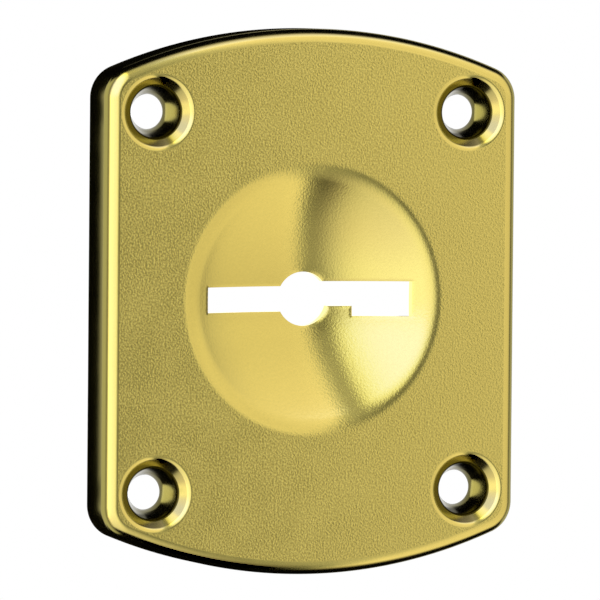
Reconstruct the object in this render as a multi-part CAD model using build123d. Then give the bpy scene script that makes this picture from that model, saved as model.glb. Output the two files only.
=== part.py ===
"""Pressed brass keyhole plate: arched outline, turned-down edge, round dish, double keyhole.

The plate lies on its back rim. X is its width, Y its height, and its front faces +Z.
"""
import os
from math import asin, atan2, cos, hypot, radians, sin, sqrt, tan

from build123d import *

# Driving dimensions, in millimetres

# Outline: straight sides, arched top and bottom, rounded corners
plate_width = 50.0
plate_height = 62.3
arch_radius = 59.5
corner_radius = 3.85

# Pressed sheet, and the edge that is turned down all round to the back rim
sheet = 1.0
plate_depth = 6.2
bend_radius = 1.5

# Round dish: it leaves the flat at its rim, and its middle lies just above the plate's
dish_diameter = 31.4
dish_depth = 3.6
dish_rim_inside_radius = 4.0
dish_rise = 0.25

# Screw seats: a rounded lip close to the edge bend, a countersink, a steep throat, a short straight hole
seat_diameter = 8.8
seat_depth = 4.3
seat_lip_radius = 0.8
seat_land = 0.15
countersink_slope = 42.0  # degrees from the flat
throat_diameter = 6.34
throat_lip_radius = 1.0
screw_hole_diameter = 4.0
screw_hole_length = 0.6

# Keyhole: a round for the stem, a plain slot on the left and a stepped one on the right
stem_diameter = 6.2
slot_reach = 12.45
left_slot_height = 2.9
right_slot_height = 4.0
neck_height = 2.85
neck_end = 5.85

# Radii, levels and centres that follow from them
hollow_depth = plate_depth - sheet
arch_centre = plate_height / 2 - arch_radius
seat_inset = bend_radius + seat_land + seat_diameter / 2
seat_x = plate_width / 2 - seat_inset
seat_y = arch_centre + sqrt((arch_radius - seat_inset) ** 2 - seat_x**2)


def outline(inset):
    """The plate's outline, moved inwards by the inset."""
    arch = Circle(arch_radius - inset)
    lens = Pos(0, arch_centre) * arch & Pos(0, -arch_centre) * arch
    blank = lens & Rectangle(plate_width - 2 * inset, plate_height)
    return fillet(blank.vertices(), corner_radius - inset)


def pan():
    """The flat front with its edge turned down through a rounded bend, open at the back."""
    block = extrude(outline(0), plate_depth)
    front_edges = block.edges().group_by(Axis.Z)[-1]
    hollow = extrude(outline(sheet), hollow_depth)
    return fillet(front_edges, bend_radius) - hollow


def arc_about(centre, radius, start, end):
    """An arc about a centre, between two angles that lean from +Z towards the axis."""
    middle = (start + end) / 2
    points = [
        (centre[0] - radius * sin(angle), centre[1] + radius * cos(angle))
        for angle in (start, middle, end)
    ]
    return ThreePointArc(*points)


def turned(*section):
    """The solid whose section, in radius and height, is the closed run of edges."""
    return revolve(make_face(Plane.XZ * Wire(section)), Axis.Z)


def keyhole():
    """The keyhole's outline, about the middle of its round."""
    left_slot = Pos(-slot_reach / 2, 0) * Rectangle(slot_reach, left_slot_height)
    neck_middle = (right_slot_height - neck_height) / 2
    neck = Pos(neck_end / 2, neck_middle) * Rectangle(neck_end, neck_height)
    bit_length = slot_reach - neck_end
    bit = Pos(neck_end + bit_length / 2, 0) * Rectangle(bit_length, right_slot_height)
    return Circle(stem_diameter / 2) + left_slot + neck + bit


def bowl():
    """The dish before it is pierced: a ball's cap of even sheet that rolls over into the flat."""
    rim = dish_diameter / 2
    rim_radius = dish_rim_inside_radius + sheet
    centre_distance = (rim**2 + dish_depth**2) / (2 * dish_depth)
    cap_radius = centre_distance - rim_radius
    cap_centre = (0, plate_depth - dish_depth + cap_radius)
    rim_centre = (rim, plate_depth - rim_radius)
    slope = asin(rim / centre_distance)
    front_cap = arc_about(cap_centre, -cap_radius, 0, slope)
    front_rim = arc_about(rim_centre, rim_radius, slope, 0)
    back_rim = arc_about(rim_centre, dish_rim_inside_radius, 0, slope)
    back_cap = arc_about(cap_centre, -cap_radius - sheet, slope, 0)
    rim_wall = Line(front_rim @ 1, back_rim @ 0)
    middle = Line(back_cap @ 1, front_cap @ 0)
    return turned(front_cap, front_rim, rim_wall, back_rim, back_cap, middle)


def pierced_dish():
    """The dish with its keyhole punched straight through."""
    return bowl() - extrude(keyhole(), plate_depth)


def rolled(start, radius, low, high):
    """A bend in a seat's section, from a point and its slope inwards and down to a steeper slope."""
    end = start + Vector(sin(low) - sin(high), cos(high) - cos(low)) * radius
    handle = radius * tan((high - low) / 4) * 4 / 3
    start_pull = start - Vector(cos(low), sin(low)) * handle
    end_pull = end + Vector(cos(high), sin(high)) * handle
    return Bezier(start, start_pull, end_pull, end)


def screw_seat():
    """A rounded lip, a countersink, a steep throat that is tangent to its own lip, and the hole."""
    lip = seat_diameter / 2
    hole = screw_hole_diameter / 2
    underside = plate_depth - seat_depth
    throat_end = underside + screw_hole_length
    slant = radians(countersink_slope)
    lip_bend = rolled(Vector(lip, plate_depth), seat_lip_radius, 0, slant)
    lip_end = lip_bend @ 1
    fall = (lip_end.X - throat_diameter / 2) * tan(slant)
    throat_start = Vector(throat_diameter / 2, lip_end.Y - fall)
    centre = throat_start + Vector(sin(slant), -cos(slant)) * throat_lip_radius
    run = centre.X - hole
    drop = centre.Y - throat_end
    steep = atan2(drop, run) + asin(throat_lip_radius / hypot(run, drop))
    throat_bend = rolled(throat_start, throat_lip_radius, slant, steep)
    throat_back = hole + sheet / sin(steep)
    foot = throat_back - screw_hole_length / tan(steep)
    shoulder = throat_back + (hollow_depth - throat_end) / tan(steep)
    countersink = Line(lip_end, throat_start)
    hole_wall = [(hole, throat_end), (hole, underside)]
    back_wall = [(foot, underside), (shoulder, hollow_depth), (lip, hollow_depth), (lip, plate_depth)]
    walls = Polyline(throat_bend @ 1, *hole_wall, *back_wall)
    return turned(lip_bend, countersink, throat_bend, *walls.edges())


def escutcheon_plate():
    """The whole pressing: the pan, with the dish and the screw seats set into its front."""
    plate = pan()
    pressings = [(Pos(0, dish_rise), dish_diameter, pierced_dish())]
    seat = screw_seat()
    for x in (-seat_x, seat_x):
        for y in (-seat_y, seat_y):
            pressings.append((Pos(x, y), seat_diameter, seat))
    for place, diameter, pressing in pressings:
        plate -= place * extrude(Circle(diameter / 2), plate_depth)
        plate += place * pressing
    return plate


os.makedirs("parts", exist_ok=True)
export_step(escutcheon_plate(), "parts/escutcheon_plate.step")
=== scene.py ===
from math import asin, atan2, cos, hypot, pi, radians, sin, sqrt, tan

import bmesh
import bpy
from bmesh.types import BMFace, BMVert
from mathutils import Matrix, Vector


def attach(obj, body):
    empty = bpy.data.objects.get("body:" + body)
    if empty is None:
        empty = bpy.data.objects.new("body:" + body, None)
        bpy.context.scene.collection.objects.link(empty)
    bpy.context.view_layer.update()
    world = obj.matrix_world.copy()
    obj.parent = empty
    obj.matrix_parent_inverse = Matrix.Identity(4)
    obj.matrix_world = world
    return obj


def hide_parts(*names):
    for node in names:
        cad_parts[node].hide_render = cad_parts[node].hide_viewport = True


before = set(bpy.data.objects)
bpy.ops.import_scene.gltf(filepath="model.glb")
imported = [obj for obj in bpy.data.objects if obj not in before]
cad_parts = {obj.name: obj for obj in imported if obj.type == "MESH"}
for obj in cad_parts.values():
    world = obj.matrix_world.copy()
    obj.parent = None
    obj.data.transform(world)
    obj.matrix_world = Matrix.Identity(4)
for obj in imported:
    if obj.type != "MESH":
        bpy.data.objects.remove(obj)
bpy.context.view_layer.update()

# A keyhole plate pressed from brass sheet. It lies on its back rim, X is its width, Y its height, and its
# front faces +Z. Its mesh is drawn in millimetres and scaled to metres at the end.
MM = 0.001
X_AXIS = (1, 0, 0)
Y_AXIS = (0, 1, 0)
Z_AXIS = (0, 0, 1)

# Outline and pressed sheet, in millimetres
PLATE_WIDTH = 50.0
PLATE_HEIGHT = 62.3
ARCH_RADIUS = 59.5
CORNER_RADIUS = 3.85
SHEET = 1.0
PLATE_DEPTH = 6.2
BEND_RADIUS = 1.5
INNER_BEND_RADIUS = 0.5

# Round dish, in millimetres
DISH_DIAMETER = 31.4
DISH_DEPTH = 3.6
DISH_RIM_RADIUS = 5.0
DISH_RISE = 0.25

# Screw seats, in millimetres, with the slope in degrees from the flat
SEAT_DIAMETER = 8.8
SEAT_DEPTH = 4.3
SEAT_LIP_RADIUS = 0.8
SEAT_LAND = 0.15
COUNTERSINK_SLOPE = 42.0
THROAT_DIAMETER = 6.34
THROAT_LIP_RADIUS = 1.0
SCREW_HOLE_DIAMETER = 4.0
SCREW_HOLE_LENGTH = 0.6

# Keyhole, in millimetres: a round for the stem, a plain slot on the left and a stepped one on the right
STEM_DIAMETER = 6.2
SLOT_REACH = 12.45
LEFT_SLOT_HEIGHT = 2.9
RIGHT_SLOT_HEIGHT = 4.0
NECK_HEIGHT = 2.85
NECK_END = 5.85

# The rolled-over front edge of the keyhole, with the distances from it that get a row of points
ROLL_WIDTH = 0.4
ROLL_DROP = 0.05
ROLL_ROWS = (0.0, 0.12, 0.25, ROLL_WIDTH)

# Narrow flat rings that keep the front truly flat beside each bend
DISH_RING = 0.3
SMALL_RING = 0.05

# Levels and places that follow from the sizes
HOLLOW_DEPTH = PLATE_DEPTH - SHEET
ARCH_CENTRE = PLATE_HEIGHT / 2 - ARCH_RADIUS
SEAT_INSET = BEND_RADIUS + SEAT_LAND + SEAT_DIAMETER / 2
SEAT_X = PLATE_WIDTH / 2 - SEAT_INSET
SEAT_Y = ARCH_CENTRE + sqrt((ARCH_RADIUS - SEAT_INSET) ** 2 - SEAT_X**2)
LEFT_HALF = LEFT_SLOT_HEIGHT / 2
RIGHT_HALF = RIGHT_SLOT_HEIGHT / 2
NECK_LOW = RIGHT_HALF - NECK_HEIGHT

# How finely the round stretches are drawn
ARCH_STEPS = 40
CORNER_STEPS = 20
BEND_SEGMENTS = 14
CAP_STEPS = 30
DISH_RIM_STEPS = 14
DISH_TURN_STEPS = 192
SEAT_BEND_STEPS = 10
THROAT_STEPS = 4
SEAT_TURN_STEPS = 96

# Allowances, in millimetres: between points that are one, and between points on one level
SAME_POINT = 1e-4
SAME_LEVEL = 1e-3

# How near a point a cut goes through it, and how far past the rolled edge the dish is cut, in millimetres
CUT_SNAP = 0.004
CUT_MARGIN = 0.6

# Edges that turn by more than this are drawn sharp
SHARP_ANGLE = radians(32)

# Finishes, by the slot in which the piece carries them
SATIN, BRIGHT, DULL, THROAT_SHADE, COUNTERSINK_SHADE, PRESSED = range(6)

# Tones of brass, darker and lighter
RUBBED_TONES = ((0.70, 0.60, 0.15), (0.95, 0.83, 0.23))
POLISHED_TONES = ((0.78, 0.67, 0.18), (0.92, 0.80, 0.22))
DULL_TONES = ((0.45, 0.33, 0.10), (0.75, 0.58, 0.20))
# Painted shade: a near-black tone for the seats' throats and holes, where shade falls in the recess
THROAT_SHADE_TONES = ((0.10, 0.085, 0.018), (0.15, 0.13, 0.027))
# Painted shade: a darker tone for the countersinks, where shade falls in the seat's recess
COUNTERSINK_SHADE_TONES = ((0.48, 0.41, 0.115), (0.60, 0.52, 0.15))

# Grain of the finishes: its scale and detail, and how far its tones spread at the left and right edges
POLISHED_GRAIN = {"Grain Scale": 3000.0, "Grain Detail": 2.0, "Left Spread": 0.3, "Right Spread": 0.3}
# On the satin flat the wider spread at the left is painted sparkle of the light from the left, over its real
# grain
SATIN_GRAIN = {"Grain Scale": 4200.0, "Grain Detail": 1.0, "Left Spread": 4.0, "Right Spread": 1.0}
PRESSED_GRAIN = {"Grain Scale": 4200.0, "Grain Detail": 1.0, "Left Spread": 0.4, "Right Spread": 0.4}
DULL_GRAIN = {"Grain Scale": 2500.0, "Grain Detail": 2.0, "Left Spread": 0.8, "Right Spread": 0.8}

# What all grain shares: the slow unevenness, its part in the tone, and the depth of the bump in metres
GRAIN_ROUGHNESS = 0.6
SLOW_SCALE = 260.0
SLOW_DETAIL = 3.0
SLOW_SHARE = 0.2
SLOW_SPAN = (0.3, 0.7)
NOISE_MIDDLE = 0.5
TONE_MIDDLE = 0.5
BUMP_DISTANCE = 0.00002

# Camera, in degrees, metres and the lens's own millimetres
VIEW_LEFT = 20.83
VIEW_UP = 2.49
VIEW_ROLL = 0.497
VIEW_DISTANCE = 0.9
AIM_LEFT = 1.554 * MM
AIM_UP = 0.256 * MM
FRONT_CENTRE = Vector((0, 0, PLATE_DEPTH * MM))
LENS = 473.97
SENSOR = 36.0
CLIP_NEAR = 0.01
CLIP_FAR = 50.0

# The lights and the floor are graded by stops: a place, and a shade as one number or as red, green and blue.
# For the lights a place is the sine of an angle: from the dark gap, less than 0 to its left, or upwards,
# or forward from the plate's plane.
SKY = (-1, 1)
WHITE = (1, 1, 1, 1)

# The gap between the lights: where it passes one unit in front of the plate, and how far it leans there
GAP_MIDDLE = 0.245
GAP_LEAN = 0.205

# Light on the left, as an upper and a lower half that meet level with the plate
UPPER_LEFT = (
    (-1.0, (0.9, 0.9, 1.0)), (-0.988, (1.4, 1.35, 1.4)), (-0.972, (2.1, 2.0, 2.0)),
    (-0.92, (1.5, 1.45, 2.0)), (-0.75, (1.3, 1.35, 2.5)), (-0.45, (1.3, 1.35, 2.6)),
    (-0.33, (1.25, 1.32, 2.45)), (-0.26, (1.2, 1.3, 2.2)), (-0.21, (1.2, 1.28, 1.9)),
    (-0.17, (1.2, 1.26, 1.5)), (-0.13, (1.2, 1.2, 1.05)), (-0.085, (1.1, 1.1, 0.9)),
    (-0.055, 0.17), (-0.02, 0.14), (0.04, 0.15), (0.08, 0),
)
UPPER_HEIGHTS = ((0.0, 0), (0.15, 1), (0.68, 1), (0.77, (1.6, 1.5, 0.95)))
LOWER_LEFT = (
    (-1.0, 0.9), (-0.988, (1.4, 1.35, 1.3)), (-0.972, (2.1, 2.0, 1.9)), (-0.92, (1.5, 1.45, 1.6)),
    (-0.75, (1.3, 1.3, 1.5)), (-0.50, (1.22, 1.2, 1.35)), (-0.34, (1.18, 1.15, 1.2)),
    (-0.24, (1.03, 1.0, 1.0)), (-0.17, (0.88, 0.86, 0.86)), (-0.10, (0.60, 0.59, 0.59)),
    (-0.05, 0.36), (0.0, 0.2), (0.04, 0.16), (0.08, 0),
)
LOWER_HEIGHTS = (
    (-0.85, 0), (-0.78, (0.70, 0.68, 0.68)), (-0.5, (0.84, 0.80, 0.82)), (-0.2, 1), (0.0, 1), (0.15, 0),
)

# Light taken from the left beside the gap, level with the plate and far below it
GAP_DIM = ((-0.22, 0), (-0.13, 0.28), (-0.06, 0.2), (0.0, 0.1), (0.04, 0))
DIM_HEIGHTS = ((-0.76, 0.8), (-0.6, 0), (-0.2, 0), (-0.1, 1), (0.12, 1), (0.2, 0))

# Faint light in the gap, above and below the plate's level
GAP_GLOW = (
    (-0.12, 0), (-0.05, (0.9, 0.87, 0.84)), (0.01, (0.9, 0.87, 0.84)), (0.05, (2.2, 2.1, 2.0)),
    (0.09, (1.3, 1.25, 1.2)), (0.13, 0),
)
GAP_HEIGHTS = (
    (-0.66, 0), (-0.52, 0.07), (-0.3, 0.06), (-0.15, 0), (0.15, 0), (0.25, 0.05), (0.5, 0.15), (0.75, 0.18),
)

# Dimmer light on the right
RIGHT_LIGHT = (
    (0.05, 0), (0.085, (0.16, 0.20, 0.21)), (0.11, (0.55, 0.54, 0.52)), (0.135, (0.94, 0.84, 0.76)),
    (0.17, (0.90, 0.80, 0.72)), (0.25, (0.79, 0.705, 0.63)), (0.65, (0.77, 0.69, 0.61)),
    (0.79, (0.67, 0.61, 0.57)), (0.85, (0.58, 0.54, 0.52)), (0.89, (0.35, 0.32, 0.30)),
    (0.93, (0.15, 0.14, 0.13)),
)
RIGHT_HEIGHTS = (
    (-0.93, 0.45), (-0.85, 0.75), (-0.75, 1.25), (-0.5, 1.17), (-0.1, 0.98), (0.0, 1.03), (0.1, 1.17),
    (0.25, 1.12), (0.55, (1.26, 1.26, 1.32)), (0.68, (1.34, 1.34, 1.5)), (0.74, (1.6, 1.7, 2.5)),
    (0.81, (1.22, 1.35, 2.3)), (0.88, (1.05, 1.1, 2.0)), (0.93, (0.75, 0.8, 1.2)),
)

# All of that light comes from in front of the plate
FRONT_ONLY = ((0.08, 0), (0.36, 1))

# Low light round the plate and behind it: how far back, on which sides of the gap, and how high
LOW_LIGHT = ((-0.97, 0.40), (-0.80, 0.44), (-0.60, 0.46), (-0.30, 0.48), (-0.05, 0.30), (0.2, 0))
LOW_NEAR = ((-0.16, 1), (-0.04, 0), (0.4, 0), (0.6, 0.9))
LOW_HEIGHTS = ((-0.56, 0), (-0.5, 1), (0.5, 1), (0.56, 0))
LOW_FAR = ((-0.45, 1), (-0.35, 0))

# The floor, in metres, and the stretches of distance over which it is graded
FLOOR_HALF = 6.0
FLOOR_LEVEL = -0.00005
NEAR_HOLE = (0, 0.004)
ROUND_HOLE = (0, 0.01)
PAST_EDGE = (-0.001, 0.003)

# The floor's light below the screw holes, in bright spots to the left of them, and below the keyhole
# Painted light: these pools glow on the floor and are seen only in what the plate mirrors
HOLE_GLOW = ((0.0018, 1.0), (0.0022, 0))
SPOT_SHIFT = 0.0031
SPOT_GLOW = ((0.0022, 4.0), (0.0026, 0))
KEYHOLE_GLOW = ((0.0, 1.5), (0.001, 0))

# Where the floor is dark: round those spots and beside the plate's edge
# Painted shadow: contact shade beside the plate's edge and shade round the spots
HOLE_SHADE = ((0.0045, 1), (0.0055, 0))
EDGE_SHADE = ((-0.0005, 0), (0.0, 1), (0.00145, 1), (0.0021, 0))


# Steps in drawing a mesh

def arc_on(bm, vert, centre, axis, angle, steps):
    """Carries a vertex round an arc and gives back the vertex at its end."""
    made = bmesh.ops.spin(
        bm, geom=[vert], cent=centre, axis=axis, angle=angle, steps=steps, use_duplicate=False
    )
    return made["geom_last"][0]


def line_on(bm, vert, step):
    """Draws a straight edge from a vertex and gives back the vertex at its end."""
    made = bmesh.ops.extrude_vert_indiv(bm, verts=[vert])
    bmesh.ops.translate(bm, verts=made["verts"], vec=step)
    return made["verts"][0]


def turn_full(bm, steps):
    """Spins the drawn section once round the upright axis."""
    section = bm.verts[:] + bm.edges[:]
    bmesh.ops.spin(
        bm, geom=section, cent=(0, 0, 0), axis=Z_AXIS, angle=2 * pi, steps=steps, use_merge=True
    )
    bmesh.ops.remove_doubles(bm, verts=bm.verts[:], dist=SAME_POINT)


def only(kind, geometry):
    """The vertices or the faces among what an operator made."""
    return [item for item in geometry if isinstance(item, kind)]


def on_level(item, height):
    """Whether an edge or a face lies at one height."""
    return all(abs(vert.co.z - height) < SAME_LEVEL for vert in item.verts)


def paint(faces, finish):
    """Gives faces one of the finishes."""
    for face in faces:
        face.material_index = finish


def take_in(plate, part):
    """Adds a finished part to the plate's mesh."""
    mesh = bpy.data.meshes.new("part")
    part.to_mesh(mesh)
    part.free()
    plate.from_mesh(mesh)
    bpy.data.meshes.remove(mesh)


# The turned-down edge

def outline_face(bm, inset):
    """The plate's outline as one face in the back rim's plane: an arched quarter, mirrored twice."""
    half = PLATE_WIDTH / 2 - inset
    arch = ARCH_RADIUS - inset
    corner = CORNER_RADIUS - inset
    corner_x = half - corner
    corner_y = ARCH_CENTRE + sqrt((arch - corner) ** 2 - corner_x**2)
    lean = atan2(corner_x, corner_y - ARCH_CENTRE)
    top = bm.verts.new((0, ARCH_CENTRE + arch, 0))
    shoulder = arc_on(bm, top, (0, ARCH_CENTRE, 0), Z_AXIS, -lean, ARCH_STEPS)
    side = arc_on(bm, shoulder, (corner_x, corner_y, 0), Z_AXIS, lean - pi / 2, CORNER_STEPS)
    line_on(bm, side, (0, -side.co.y, 0))
    for axis in ("X", "Y"):
        whole = bm.verts[:] + bm.edges[:]
        bmesh.ops.mirror(bm, geom=whole, axis=axis, merge_dist=SAME_POINT)
    return bmesh.ops.contextual_create(bm, geom=bm.edges[:])["faces"][0]


def pan_wall(inset, height, bend, finish):
    """One side of the turned-down edge: bend and skirt, open at the front and at the back."""
    bm = bmesh.new()
    back = outline_face(bm, inset)
    raised = bmesh.ops.extrude_face_region(bm, geom=[back])["geom"]
    bmesh.ops.translate(bm, verts=only(BMVert, raised), vec=(0, 0, height))
    front_edges = [edge for edge in bm.edges if on_level(edge, height)]
    bmesh.ops.bevel(
        bm, geom=front_edges, offset=bend, offset_type="OFFSET", segments=BEND_SEGMENTS, profile=0.5,
        affect="EDGES", material=-1, clamp_overlap=False,
    )
    paint(bm.faces, finish)
    front = [face for face in bm.faces if on_level(face, height)]
    bmesh.ops.inset_region(bm, faces=front, thickness=SMALL_RING, use_even_offset=True)
    # Only the flat ends have more than four corners
    ends = [face for face in bm.faces if len(face.verts) > 4]
    bmesh.ops.delete(bm, geom=ends, context="FACES")
    return bm


# The dish and its keyhole

def spun_dish():
    """The dish's front, spun from its section: a ball's cap that rolls over into the flat."""
    rim = DISH_DIAMETER / 2
    stem = STEM_DIAMETER / 2
    centre_distance = (rim**2 + DISH_DEPTH**2) / (2 * DISH_DEPTH)
    cap = centre_distance - DISH_RIM_RADIUS
    cap_centre = Vector((0, 0, PLATE_DEPTH - DISH_DEPTH + cap))
    rim_centre = Vector((rim, 0, PLATE_DEPTH - DISH_RIM_RADIUS))
    slope = asin(rim / centre_distance)
    bm = bmesh.new()
    vert = bm.verts.new((stem, 0, cap_centre.z - sqrt(cap**2 - stem**2)))
    stations = [asin((stem + row) / cap) for row in ROLL_ROWS]
    for inner, outer in zip(stations, stations[1:]):
        vert = arc_on(bm, vert, cap_centre, Y_AXIS, inner - outer, 1)
    vert = arc_on(bm, vert, cap_centre, Y_AXIS, stations[-1] - slope, CAP_STEPS)
    vert = arc_on(bm, vert, rim_centre, Y_AXIS, slope, DISH_RIM_STEPS)
    line_on(bm, vert, (DISH_RING, 0, 0))
    turn_full(bm, DISH_TURN_STEPS)
    return bm


def keyhole_distance(x, y):
    """How far a point of the dish, seen from the front, lies outside the keyhole; less than 0 inside it."""
    slots = (
        (-SLOT_REACH, 0, -LEFT_HALF, LEFT_HALF),
        (0, NECK_END, NECK_LOW, RIGHT_HALF),
        (NECK_END, SLOT_REACH, -RIGHT_HALF, RIGHT_HALF),
    )
    nearest = hypot(x, y) - STEM_DIAMETER / 2
    for x_low, x_high, y_low, y_high in slots:
        across = max(x_low - x, x - x_high)
        along = max(y_low - y, y - y_high)
        outside = hypot(max(across, 0), max(along, 0))
        nearest = min(nearest, outside if outside > 0 else max(across, along))
    return nearest


def cut(bm, point, normal, reach):
    """Cuts the dish along a line, within a stretch given as lowest x, highest x, lowest y, highest y."""
    x_low, x_high, y_low, y_high = reach
    faces = []
    for face in bm.faces:
        middle = face.calc_center_median()
        if x_low < middle.x < x_high and y_low < middle.y < y_high:
            faces.append(face)
    edges = {edge for face in faces for edge in face.edges}
    verts = {vert for face in faces for vert in face.verts}
    bmesh.ops.bisect_plane(
        bm, geom=list(verts) + list(edges) + faces, dist=CUT_SNAP, plane_co=point, plane_no=normal
    )


def punch_keyhole(bm):
    """Cuts the dish along the slots' edges and the rows beside them, and takes out what is inside."""
    margin = ROLL_WIDTH + CUT_MARGIN
    left_reach = (-SLOT_REACH - margin, 0, -LEFT_HALF - margin, LEFT_HALF + margin)
    right_reach = (0, SLOT_REACH + margin, -RIGHT_HALF - margin, RIGHT_HALF + margin)
    neck_reach = (0, NECK_END + margin, -RIGHT_HALF, RIGHT_HALF)
    step_reach = (0, NECK_END + margin, -RIGHT_HALF - margin, 0)
    for row in ROLL_ROWS:
        for sign in (-1, 1):
            cut(bm, (0, sign * (LEFT_HALF + row), 0), Y_AXIS, left_reach)
            cut(bm, (0, sign * (RIGHT_HALF + row), 0), Y_AXIS, right_reach)
        cut(bm, (-SLOT_REACH - row, 0, 0), X_AXIS, left_reach)
        cut(bm, (SLOT_REACH + row, 0, 0), X_AXIS, right_reach)
        cut(bm, (0, NECK_LOW - row, 0), Y_AXIS, neck_reach)
        cut(bm, (NECK_END - row, 0, 0), X_AXIS, step_reach)
    punched = [face for face in bm.faces if keyhole_distance(*face.calc_center_median().xy) < 0]
    bmesh.ops.delete(bm, geom=punched, context="FACES")


def roll_over(verts):
    """Lowers the dish's front towards the keyhole, so that its edge is rolled over."""
    for vert in verts:
        away = keyhole_distance(*vert.co.xy)
        if away < ROLL_WIDTH:
            vert.co.z -= ROLL_DROP * (1 - max(away, 0) / ROLL_WIDTH) ** 2


def dish():
    """The dish with its keyhole, pushed through by the sheet and open where it meets the flat."""
    bm = spun_dish()
    punch_keyhole(bm)
    front = bm.faces[:]
    paint(front, PRESSED)
    pushed = bmesh.ops.extrude_face_region(bm, geom=front, use_keep_orig=True)["geom"]
    back_verts = only(BMVert, pushed)
    back = only(BMFace, pushed)
    bmesh.ops.translate(bm, verts=back_verts, vec=(0, 0, -SHEET))
    walls = set(bm.faces) - set(front) - set(back)
    paint(back, DULL)
    paint(walls, BRIGHT)
    outer = [face for face in walls if face.calc_center_median().xy.length > DISH_DIAMETER / 2]
    bmesh.ops.delete(bm, geom=outer, context="FACES")
    roll_over(set(bm.verts) - set(back_verts))
    bmesh.ops.translate(bm, verts=bm.verts[:], vec=(0, DISH_RISE, 0))
    return bm


# The screw seats

def paint_seat(bm, lip_end, throat_top, underside, foot):
    """Gives a seat its finishes, by the heights that part them and by how far out its back begins."""
    for face in bm.faces:
        lowest = min(vert.co.z for vert in face.verts)
        highest = max(vert.co.z for vert in face.verts)
        widest = max(vert.co.xy.length for vert in face.verts)
        if lowest < underside + SAME_LEVEL and widest > foot - SAME_LEVEL:
            face.material_index = DULL
        elif highest < throat_top + SAME_LEVEL:
            # Painted shade: the throat and hole take a near-black tone
            face.material_index = THROAT_SHADE
        elif highest < lip_end + SAME_LEVEL:
            # Painted shade: the countersink takes a darker tone
            face.material_index = COUNTERSINK_SHADE
        else:
            face.material_index = BRIGHT


def screw_seat():
    """One screw seat: lip, countersink, throat, hole and underside, spun from its section."""
    lip = SEAT_DIAMETER / 2
    hole = SCREW_HOLE_DIAMETER / 2
    underside = PLATE_DEPTH - SEAT_DEPTH
    throat_end = underside + SCREW_HOLE_LENGTH
    slant = radians(COUNTERSINK_SLOPE)
    bm = bmesh.new()
    vert = bm.verts.new((lip + SMALL_RING, 0, PLATE_DEPTH))
    vert = line_on(bm, vert, (-SMALL_RING, 0, 0))
    lip_centre = (lip, 0, PLATE_DEPTH - SEAT_LIP_RADIUS)
    vert = arc_on(bm, vert, lip_centre, Y_AXIS, -slant, SEAT_BEND_STEPS)
    lip_end = vert.co.z
    reach = vert.co.x - THROAT_DIAMETER / 2
    vert = line_on(bm, vert, (-reach, 0, -reach * tan(slant)))
    throat_top = vert.co.z
    centre = vert.co + Vector((sin(slant), 0, -cos(slant))) * THROAT_LIP_RADIUS
    run = centre.x - hole
    drop = centre.z - throat_end
    steep = atan2(drop, run) + asin(THROAT_LIP_RADIUS / hypot(run, drop))
    vert = arc_on(bm, vert, centre, Y_AXIS, slant - steep, SEAT_BEND_STEPS)
    throat = Vector((hole, 0, throat_end)) - vert.co
    for step in range(THROAT_STEPS):
        vert = line_on(bm, vert, throat / THROAT_STEPS)
    vert = line_on(bm, vert, (0, 0, underside - throat_end))
    throat_back = hole + SHEET / sin(steep)
    foot = throat_back - SCREW_HOLE_LENGTH / tan(steep)
    shoulder = throat_back + (HOLLOW_DEPTH - throat_end) / tan(steep)
    vert = line_on(bm, vert, (foot - hole, 0, 0))
    line_on(bm, vert, (shoulder - foot, 0, HOLLOW_DEPTH - underside))
    turn_full(bm, SEAT_TURN_STEPS)
    paint_seat(bm, lip_end, throat_top, underside, foot)
    return bm


# The whole plate

def fill_flat(bm, height, finish):
    """Fills the flat between the open edges that lie at one height."""
    edges = [edge for edge in bm.edges if edge.is_boundary and on_level(edge, height)]
    made = bmesh.ops.triangle_fill(bm, use_beauty=True, edges=edges, normal=Z_AXIS)
    paint(only(BMFace, made["geom"]), finish)


def plate_mesh():
    """The whole pressing as one closed mesh, in metres."""
    bm = bmesh.new()
    take_in(bm, pan_wall(0, PLATE_DEPTH, BEND_RADIUS, BRIGHT))
    take_in(bm, pan_wall(SHEET, HOLLOW_DEPTH, INNER_BEND_RADIUS, DULL))
    fill_flat(bm, 0, DULL)
    take_in(bm, dish())
    for x in (-SEAT_X, SEAT_X):
        for y in (-SEAT_Y, SEAT_Y):
            seat = screw_seat()
            bmesh.ops.translate(seat, verts=seat.verts[:], vec=(x, y, 0))
            take_in(bm, seat)
    fill_flat(bm, PLATE_DEPTH, SATIN)
    fill_flat(bm, HOLLOW_DEPTH, DULL)
    bmesh.ops.recalc_face_normals(bm, faces=bm.faces[:])
    for face in bm.faces:
        face.smooth = True
    for edge in bm.edges:
        edge.smooth = edge.calc_face_angle(pi) < SHARP_ANGLE
    bmesh.ops.scale(bm, vec=(MM, MM, MM), verts=bm.verts[:])
    mesh = bpy.data.meshes.new("escutcheon_sheet")
    bm.to_mesh(mesh)
    bm.free()
    return mesh


# Steps in laying out nodes

def node(tree, kind, x, y, **settings):
    """Adds a node at a place in the tree and sets its properties."""
    made = tree.nodes.new(kind)
    made.location = (x, y)
    for name, value in settings.items():
        setattr(made, name, value)
    return made


def feed(tree, socket, source):
    """Links a socket to another one, or sets it to a number."""
    if isinstance(source, bpy.types.NodeSocket):
        tree.links.new(source, socket)
    else:
        socket.default_value = source


def calculate(tree, x, y, operation, *values):
    """A value worked out from sockets and numbers."""
    made = node(tree, "ShaderNodeMath", x, y, operation=operation)
    for socket, value in zip(made.inputs, values):
        feed(tree, socket, value)
    return made.outputs[0]


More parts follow.
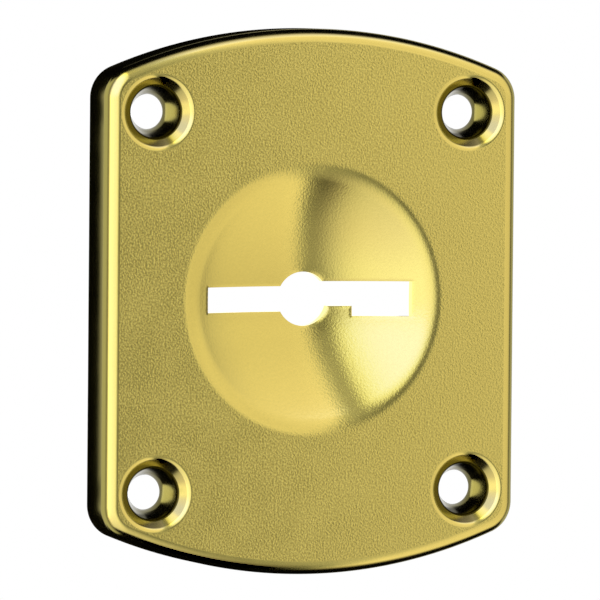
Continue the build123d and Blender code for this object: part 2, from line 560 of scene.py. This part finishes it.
def mapped(tree, x, y, source, stretch, low=0, high=1):
    """A value taken from one stretch of numbers to another."""
    made = node(tree, "ShaderNodeMapRange", x, y)
    feed(tree, made.inputs["Value"], source)
    feed(tree, made.inputs["From Min"], stretch[0])
    feed(tree, made.inputs["From Max"], stretch[1])
    feed(tree, made.inputs["To Min"], low)
    feed(tree, made.inputs["To Max"], high)
    return made.outputs["Result"]


def opaque(shade):
    """A colour for a node, from one number or from red, green and blue."""
    if isinstance(shade, tuple):
        return (*shade, 1)
    return (shade, shade, shade, 1)


def ramp(tree, x, y, source, stretch, stops):
    """A colour ramp over a stretch of a value, with each stop's place given in that value."""
    low, high = stretch
    shades = node(tree, "ShaderNodeValToRGB", x + 200, y)
    points = shades.color_ramp.elements
    while len(points) < len(stops):
        points.new(0.5)
    for point, (place, shade) in zip(points, stops):
        point.position = (place - low) / (high - low)
        point.color = opaque(shade)
    tree.links.new(mapped(tree, x, y, source, stretch), shades.inputs["Fac"])
    return shades.outputs["Color"]


def blend(tree, x, y, kind, first, second):
    """Two colours put together in full, by the kind of blend."""
    made = node(tree, "ShaderNodeMix", x, y, data_type="RGBA", blend_type=kind)
    made.inputs["Factor"].default_value = 1.0
    tree.links.new(first, made.inputs["A"])
    tree.links.new(second, made.inputs["B"])
    return made.outputs["Result"]


def either(tree, x, y, share, first, second):
    """Two shaders mixed by the second one's share."""
    made = node(tree, "ShaderNodeMixShader", x, y)
    for socket, source in zip(made.inputs, (share, first, second)):
        tree.links.new(source, socket)
    return made.outputs["Shader"]


# Finishes of the brass

def grain_spread(group, inputs, across):
    """How far the grain's tones spread, from the plate's left edge to its right one."""
    half = PLATE_WIDTH / 2 * MM
    left = inputs.outputs["Left Spread"]
    right = inputs.outputs["Right Spread"]
    return mapped(group, -300, 500, across, (-half, half), left, right)


def brass_grain_group():
    """Fine sparkly grain with a little slow unevenness, shared by all the finishes."""
    group = bpy.data.node_groups.new("brass grain", "ShaderNodeTree")
    for name, value in POLISHED_GRAIN.items():
        socket = group.interface.new_socket(name, in_out="INPUT", socket_type="NodeSocketFloat")
        socket.default_value = value
    for name in ("Tone", "Roughening", "Height"):
        group.interface.new_socket(name, in_out="OUTPUT", socket_type="NodeSocketFloat")
    inputs = node(group, "NodeGroupInput", -900, 0)
    outputs = node(group, "NodeGroupOutput", 500, 0)
    where = node(group, "ShaderNodeTexCoord", -900, 300)
    across = node(group, "ShaderNodeSeparateXYZ", -600, 500)
    fine = node(group, "ShaderNodeTexNoise", -600, 200, noise_dimensions="3D")
    slow = node(group, "ShaderNodeTexNoise", -600, -200, noise_dimensions="3D")
    for placed in (across, fine, slow):
        group.links.new(where.outputs["Object"], placed.inputs["Vector"])
    group.links.new(inputs.outputs["Grain Scale"], fine.inputs["Scale"])
    group.links.new(inputs.outputs["Grain Detail"], fine.inputs["Detail"])
    fine.inputs["Roughness"].default_value = GRAIN_ROUGHNESS
    slow.inputs["Scale"].default_value = SLOW_SCALE
    slow.inputs["Detail"].default_value = SLOW_DETAIL
    grain = fine.outputs["Fac"]
    unevenness = slow.outputs["Fac"]
    mixed = calculate(group, -300, -100, "MULTIPLY_ADD", unevenness, SLOW_SHARE, grain)
    centred = calculate(group, -100, -100, "SUBTRACT", mixed, NOISE_MIDDLE * (1 + SLOW_SHARE))
    spread = grain_spread(group, inputs, across.outputs["X"])
    tone = calculate(group, 100, -100, "MULTIPLY_ADD", centred, spread, TONE_MIDDLE)
    group.links.new(tone, outputs.inputs["Tone"])
    group.links.new(unevenness, outputs.inputs["Roughening"])
    group.links.new(grain, outputs.inputs["Height"])
    return group


def brass(name, group, tones, grain, roughness, bump):
    """A brass finish: two tones mixed by its grain, a span of roughness, and the grain's bump."""
    material = bpy.data.materials.new(name)
    material.use_nodes = True
    tree = material.node_tree
    tree.nodes.clear()
    surface = node(tree, "ShaderNodeBsdfPrincipled", 300, 0)
    surface.inputs["Metallic"].default_value = 1.0
    out = node(tree, "ShaderNodeOutputMaterial", 650, 0)
    tree.links.new(surface.outputs["BSDF"], out.inputs["Surface"])
    worked = node(tree, "ShaderNodeGroup", -500, 0, node_tree=group)
    for socket, value in grain.items():
        worked.inputs[socket].default_value = value
    shades = node(tree, "ShaderNodeValToRGB", -250, 200)
    for point, tone in zip(shades.color_ramp.elements, tones):
        point.color = opaque(tone)
    tree.links.new(worked.outputs["Tone"], shades.inputs["Fac"])
    tree.links.new(shades.outputs["Color"], surface.inputs["Base Color"])
    roughening = mapped(tree, -250, -50, worked.outputs["Roughening"], SLOW_SPAN, *roughness)
    tree.links.new(roughening, surface.inputs["Roughness"])
    raised = node(tree, "ShaderNodeBump", -250, -350)
    raised.inputs["Strength"].default_value = bump
    raised.inputs["Distance"].default_value = BUMP_DISTANCE
    tree.links.new(worked.outputs["Height"], raised.inputs["Height"])
    tree.links.new(raised.outputs["Normal"], surface.inputs["Normal"])
    return material


def satin_brass(group):
    """The flat: grained, with its grain's tones spread wider towards the left edge as painted sparkle of the
    light from the left.
    """
    return brass("satin brass", group, RUBBED_TONES, SATIN_GRAIN, roughness=(0.17, 0.20), bump=0.45)


def bright_brass(group):
    """The edge bend and skirt, the seats' lips and the keyhole's walls."""
    return brass("bright brass", group, POLISHED_TONES, POLISHED_GRAIN, roughness=(0.14, 0.18), bump=0.1)


def dull_brass(group):
    """The back."""
    return brass("dull brass", group, DULL_TONES, DULL_GRAIN, roughness=(0.35, 0.5), bump=0.5)


def throat_shade_brass(group):
    """The seats' throats and holes, in a near-black tone that is painted shade in the recess."""
    return brass("painted shade throat brass", group, THROAT_SHADE_TONES, POLISHED_GRAIN, roughness=(0.12, 0.16), bump=0.1)


def countersink_shade_brass(group):
    """The countersinks, in a darker tone that is painted shade in the seat's recess."""
    return brass("painted shade countersink brass", group, COUNTERSINK_SHADE_TONES, POLISHED_GRAIN, roughness=(0.14, 0.18), bump=0.1)


def pressed_brass(group):
    """The dish's front: as the flat, but with a calmer grain."""
    return brass("pressed brass", group, RUBBED_TONES, PRESSED_GRAIN, roughness=(0.15, 0.18), bump=0.5)


# The floor

def apart(tree, x, y, source, middle):
    """How far a value lies past a place or its mirror image; less than 0 between the two."""
    size = calculate(tree, x, y, "ABSOLUTE", source)
    return calculate(tree, x + 200, y, "SUBTRACT", size, middle)


def from_holes(tree, y, across, along, shift):
    """The distance on the floor from the nearest screw hole, with the holes moved to the left by a shift."""
    moved = calculate(tree, -1300, y, "ADD", across, shift)
    beside = apart(tree, -1100, y, moved, SEAT_X * MM)
    above = apart(tree, -1100, y - 150, along, SEAT_Y * MM)
    flat = node(tree, "ShaderNodeCombineXYZ", -700, y)
    tree.links.new(beside, flat.inputs["X"])
    tree.links.new(above, flat.inputs["Y"])
    length = node(tree, "ShaderNodeVectorMath", -500, y, operation="LENGTH")
    tree.links.new(flat.outputs["Vector"], length.inputs[0])
    return length.outputs["Value"]


def past_keyhole(tree, across, along):
    """How far a point of the floor lies outside the keyhole, which is taken as a plain box."""
    past_end = apart(tree, -1100, -100, across, SLOT_REACH * MM)
    past_side = apart(tree, -1100, -250, along, STEM_DIAMETER / 2 * MM)
    return calculate(tree, -500, -200, "MAXIMUM", past_end, past_side)


def past_outline(tree, across, along):
    """How far a point of the floor lies outside the plate's sides and its arched ends."""
    past_side = apart(tree, -1100, -500, across, PLATE_WIDTH / 2 * MM)
    past_top = apart(tree, -1100, -650, along, PLATE_HEIGHT / 2 * MM)
    square = calculate(tree, -1100, -800, "POWER", across, 2)
    past_arch = calculate(tree, -700, -700, "MULTIPLY_ADD", square, 0.5 / (ARCH_RADIUS * MM), past_top)
    return calculate(tree, -500, -600, "MAXIMUM", past_side, past_arch)


def white_paper():
    """White to the camera from above; mirrored, it is see-through apart from its painted pools of light and
    painted shadows.
    """
    paper = bpy.data.materials.new("white paper")
    paper.use_nodes = True
    tree = paper.node_tree
    tree.nodes.clear()
    where = node(tree, "ShaderNodeTexCoord", -1700, 0)
    split = node(tree, "ShaderNodeSeparateXYZ", -1500, 0)
    tree.links.new(where.outputs["Object"], split.inputs["Vector"])
    across = split.outputs["X"]
    along = split.outputs["Y"]
    from_hole = from_holes(tree, 300, across, along, 0)
    from_spot = from_holes(tree, 600, across, along, SPOT_SHIFT)
    from_keyhole = past_keyhole(tree, across, along)
    from_plate = past_outline(tree, across, along)

    below_hole = ramp(tree, -300, 300, from_hole, NEAR_HOLE, HOLE_GLOW)
    in_spot = ramp(tree, -300, 600, from_spot, NEAR_HOLE, SPOT_GLOW)
    below_keyhole = ramp(tree, -300, -200, from_keyhole, PAST_EDGE, KEYHOLE_GLOW)
    by_holes = blend(tree, 200, 400, "LIGHTEN", below_hole, in_spot)
    lit = blend(tree, 200, 0, "LIGHTEN", by_holes, below_keyhole)
    round_spot = ramp(tree, -300, 900, from_spot, ROUND_HOLE, HOLE_SHADE)
    beside_plate = ramp(tree, -300, -600, from_plate, PAST_EDGE, EDGE_SHADE)
    dark = blend(tree, 200, -600, "LIGHTEN", beside_plate, round_spot)

    clear = node(tree, "ShaderNodeBsdfTransparent", 400, -300).outputs["BSDF"]
    painted_glow = node(tree, "ShaderNodeEmission", 400, -100)
    tree.links.new(lit, painted_glow.inputs["Color"])
    covered = blend(tree, 400, -500, "LIGHTEN", lit, dark)
    mirrored = either(tree, 600, -100, covered, clear, painted_glow.outputs["Emission"])
    plain = node(tree, "ShaderNodeEmission", 600, 100)
    plain.inputs["Color"].default_value = WHITE
    path = node(tree, "ShaderNodeLightPath", 600, 500)
    seen = either(tree, 800, 0, path.outputs["Is Camera Ray"], mirrored, plain.outputs["Emission"])
    side = node(tree, "ShaderNodeNewGeometry", 800, 300)
    from_above = either(tree, 1000, 0, side.outputs["Backfacing"], seen, clear)
    out = node(tree, "ShaderNodeOutputMaterial", 1200, 0)
    tree.links.new(from_above, out.inputs["Surface"])
    return paper


def white_floor():
    """A white floor just below the plate's rim: plain white to the camera, with painted pools of light and
    painted shadows in what the plate mirrors.
    """
    bm = bmesh.new()
    bmesh.ops.create_grid(bm, x_segments=1, y_segments=1, size=FLOOR_HALF)
    bmesh.ops.translate(bm, verts=bm.verts[:], vec=(0, 0, FLOOR_LEVEL))
    mesh = bpy.data.meshes.new("floor")
    bm.to_mesh(mesh)
    bm.free()
    mesh.materials.append(white_paper())
    floor = bpy.data.objects.new("floor", mesh)
    bpy.context.scene.collection.objects.link(floor)
    floor.visible_diffuse = False
    floor.visible_shadow = False


# The lights

def patch(tree, y, from_gap, shades, up, heights):
    """Light that changes with the angle from the gap and with height."""
    sideways = ramp(tree, -1100, y, from_gap, SKY, shades)
    upwards = ramp(tree, -1100, y - 250, up, SKY, heights)
    return blend(tree, -600, y, "MULTIPLY", sideways, upwards)


def front_light(tree, from_gap, up, forward):
    """Light from in front: the left with its upper and lower halves, the gap, and the right."""
    upper_left = patch(tree, 1000, from_gap, UPPER_LEFT, up, UPPER_HEIGHTS)
    lower_left = patch(tree, 500, from_gap, LOWER_LEFT, up, LOWER_HEIGHTS)
    gap_glow = patch(tree, 1500, from_gap, GAP_GLOW, up, GAP_HEIGHTS)
    gap_dim = patch(tree, 2000, from_gap, GAP_DIM, up, DIM_HEIGHTS)
    right_side = patch(tree, 0, from_gap, RIGHT_LIGHT, up, RIGHT_HEIGHTS)
    both_halves = blend(tree, -400, 600, "ADD", upper_left, lower_left)
    dimmed = blend(tree, -400, 750, "SUBTRACT", both_halves, gap_dim)
    left_side = blend(tree, -400, 900, "ADD", dimmed, gap_glow)
    both_sides = blend(tree, -400, 200, "ADD", left_side, right_side)
    in_front = ramp(tree, -1100, -500, forward, SKY, FRONT_ONLY)
    return blend(tree, -200, 200, "MULTIPLY", both_sides, in_front)


def low_light(tree, from_gap, up, forward):
    """Light from round the plate and from behind it, which the turned-down edge mirrors."""
    near = patch(tree, -1000, from_gap, LOW_NEAR, up, LOW_HEIGHTS)
    far = ramp(tree, -1100, -1500, from_gap, SKY, LOW_FAR)
    sides = blend(tree, -400, -1000, "LIGHTEN", near, far)
    depth = ramp(tree, -1100, -750, forward, SKY, LOW_LIGHT)
    return blend(tree, -200, -700, "MULTIPLY", depth, sides)


def studio():
    """Soft light from the left and the right with a leaning dark gap between, and white to the camera."""
    world = bpy.data.worlds.new("studio")
    bpy.context.scene.world = world
    world.use_nodes = True
    tree = world.node_tree
    tree.nodes.clear()
    where = node(tree, "ShaderNodeTexCoord", -1600, 0)
    split = node(tree, "ShaderNodeSeparateXYZ", -1400, -300)
    tree.links.new(where.outputs["Generated"], split.inputs["Vector"])
    past_gap = node(tree, "ShaderNodeVectorMath", -1400, 200, operation="DOT_PRODUCT")
    tree.links.new(where.outputs["Generated"], past_gap.inputs[0])
    past_gap.inputs[1].default_value = Vector((1, GAP_LEAN, -GAP_MIDDLE)).normalized()
    directions = (past_gap.outputs["Value"], split.outputs["Y"], split.outputs["Z"])
    light = blend(tree, 0, 0, "ADD", front_light(tree, *directions), low_light(tree, *directions))
    mirrored = node(tree, "ShaderNodeBackground", 200, -100)
    tree.links.new(light, mirrored.inputs["Color"])
    plain = node(tree, "ShaderNodeBackground", 200, 100)
    plain.inputs["Color"].default_value = WHITE
    path = node(tree, "ShaderNodeLightPath", 200, 500)
    camera_ray = path.outputs["Is Camera Ray"]
    seen = either(tree, 450, 0, camera_ray, mirrored.outputs["Background"], plain.outputs["Background"])
    out = node(tree, "ShaderNodeOutputWorld", 650, 0)
    tree.links.new(seen, out.inputs["Surface"])


# The view

def camera():
    """A long lens, to the left of the plate's front and a little above it."""
    left = radians(VIEW_LEFT)
    up = radians(VIEW_UP)
    roll = radians(VIEW_ROLL)
    back = Vector((-sin(left) * cos(up), sin(up), cos(left) * cos(up)))
    level = Vector((cos(left), 0, sin(left)))
    upright = back.cross(level)
    right = level * cos(roll) + upright * sin(roll)
    top = upright * cos(roll) - level * sin(roll)
    aim = FRONT_CENTRE - right * AIM_LEFT + top * AIM_UP
    lens = bpy.data.cameras.new("camera")
    lens.sensor_width = SENSOR
    lens.lens = LENS
    lens.clip_start = CLIP_NEAR
    lens.clip_end = CLIP_FAR
    place = bpy.data.objects.new("camera", lens)
    turn = Matrix((right, top, back)).transposed().to_4x4()
    place.matrix_world = Matrix.Translation(aim + back * VIEW_DISTANCE) @ turn
    bpy.context.scene.collection.objects.link(place)
    bpy.context.scene.camera = place


# The plate, with its finishes in the order of their slots
grain_group = brass_grain_group()
plate = bpy.data.objects.new("escutcheon_sheet", plate_mesh())
bpy.context.scene.collection.objects.link(plate)
for finish in (satin_brass, bright_brass, dull_brass, throat_shade_brass, countersink_shade_brass, pressed_brass):
    plate.data.materials.append(finish(grain_group))
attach(plate, "root")
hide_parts("escutcheon_plate")

white_floor()
studio()
camera()
bpy.context.scene.view_settings.view_transform = "Standard"
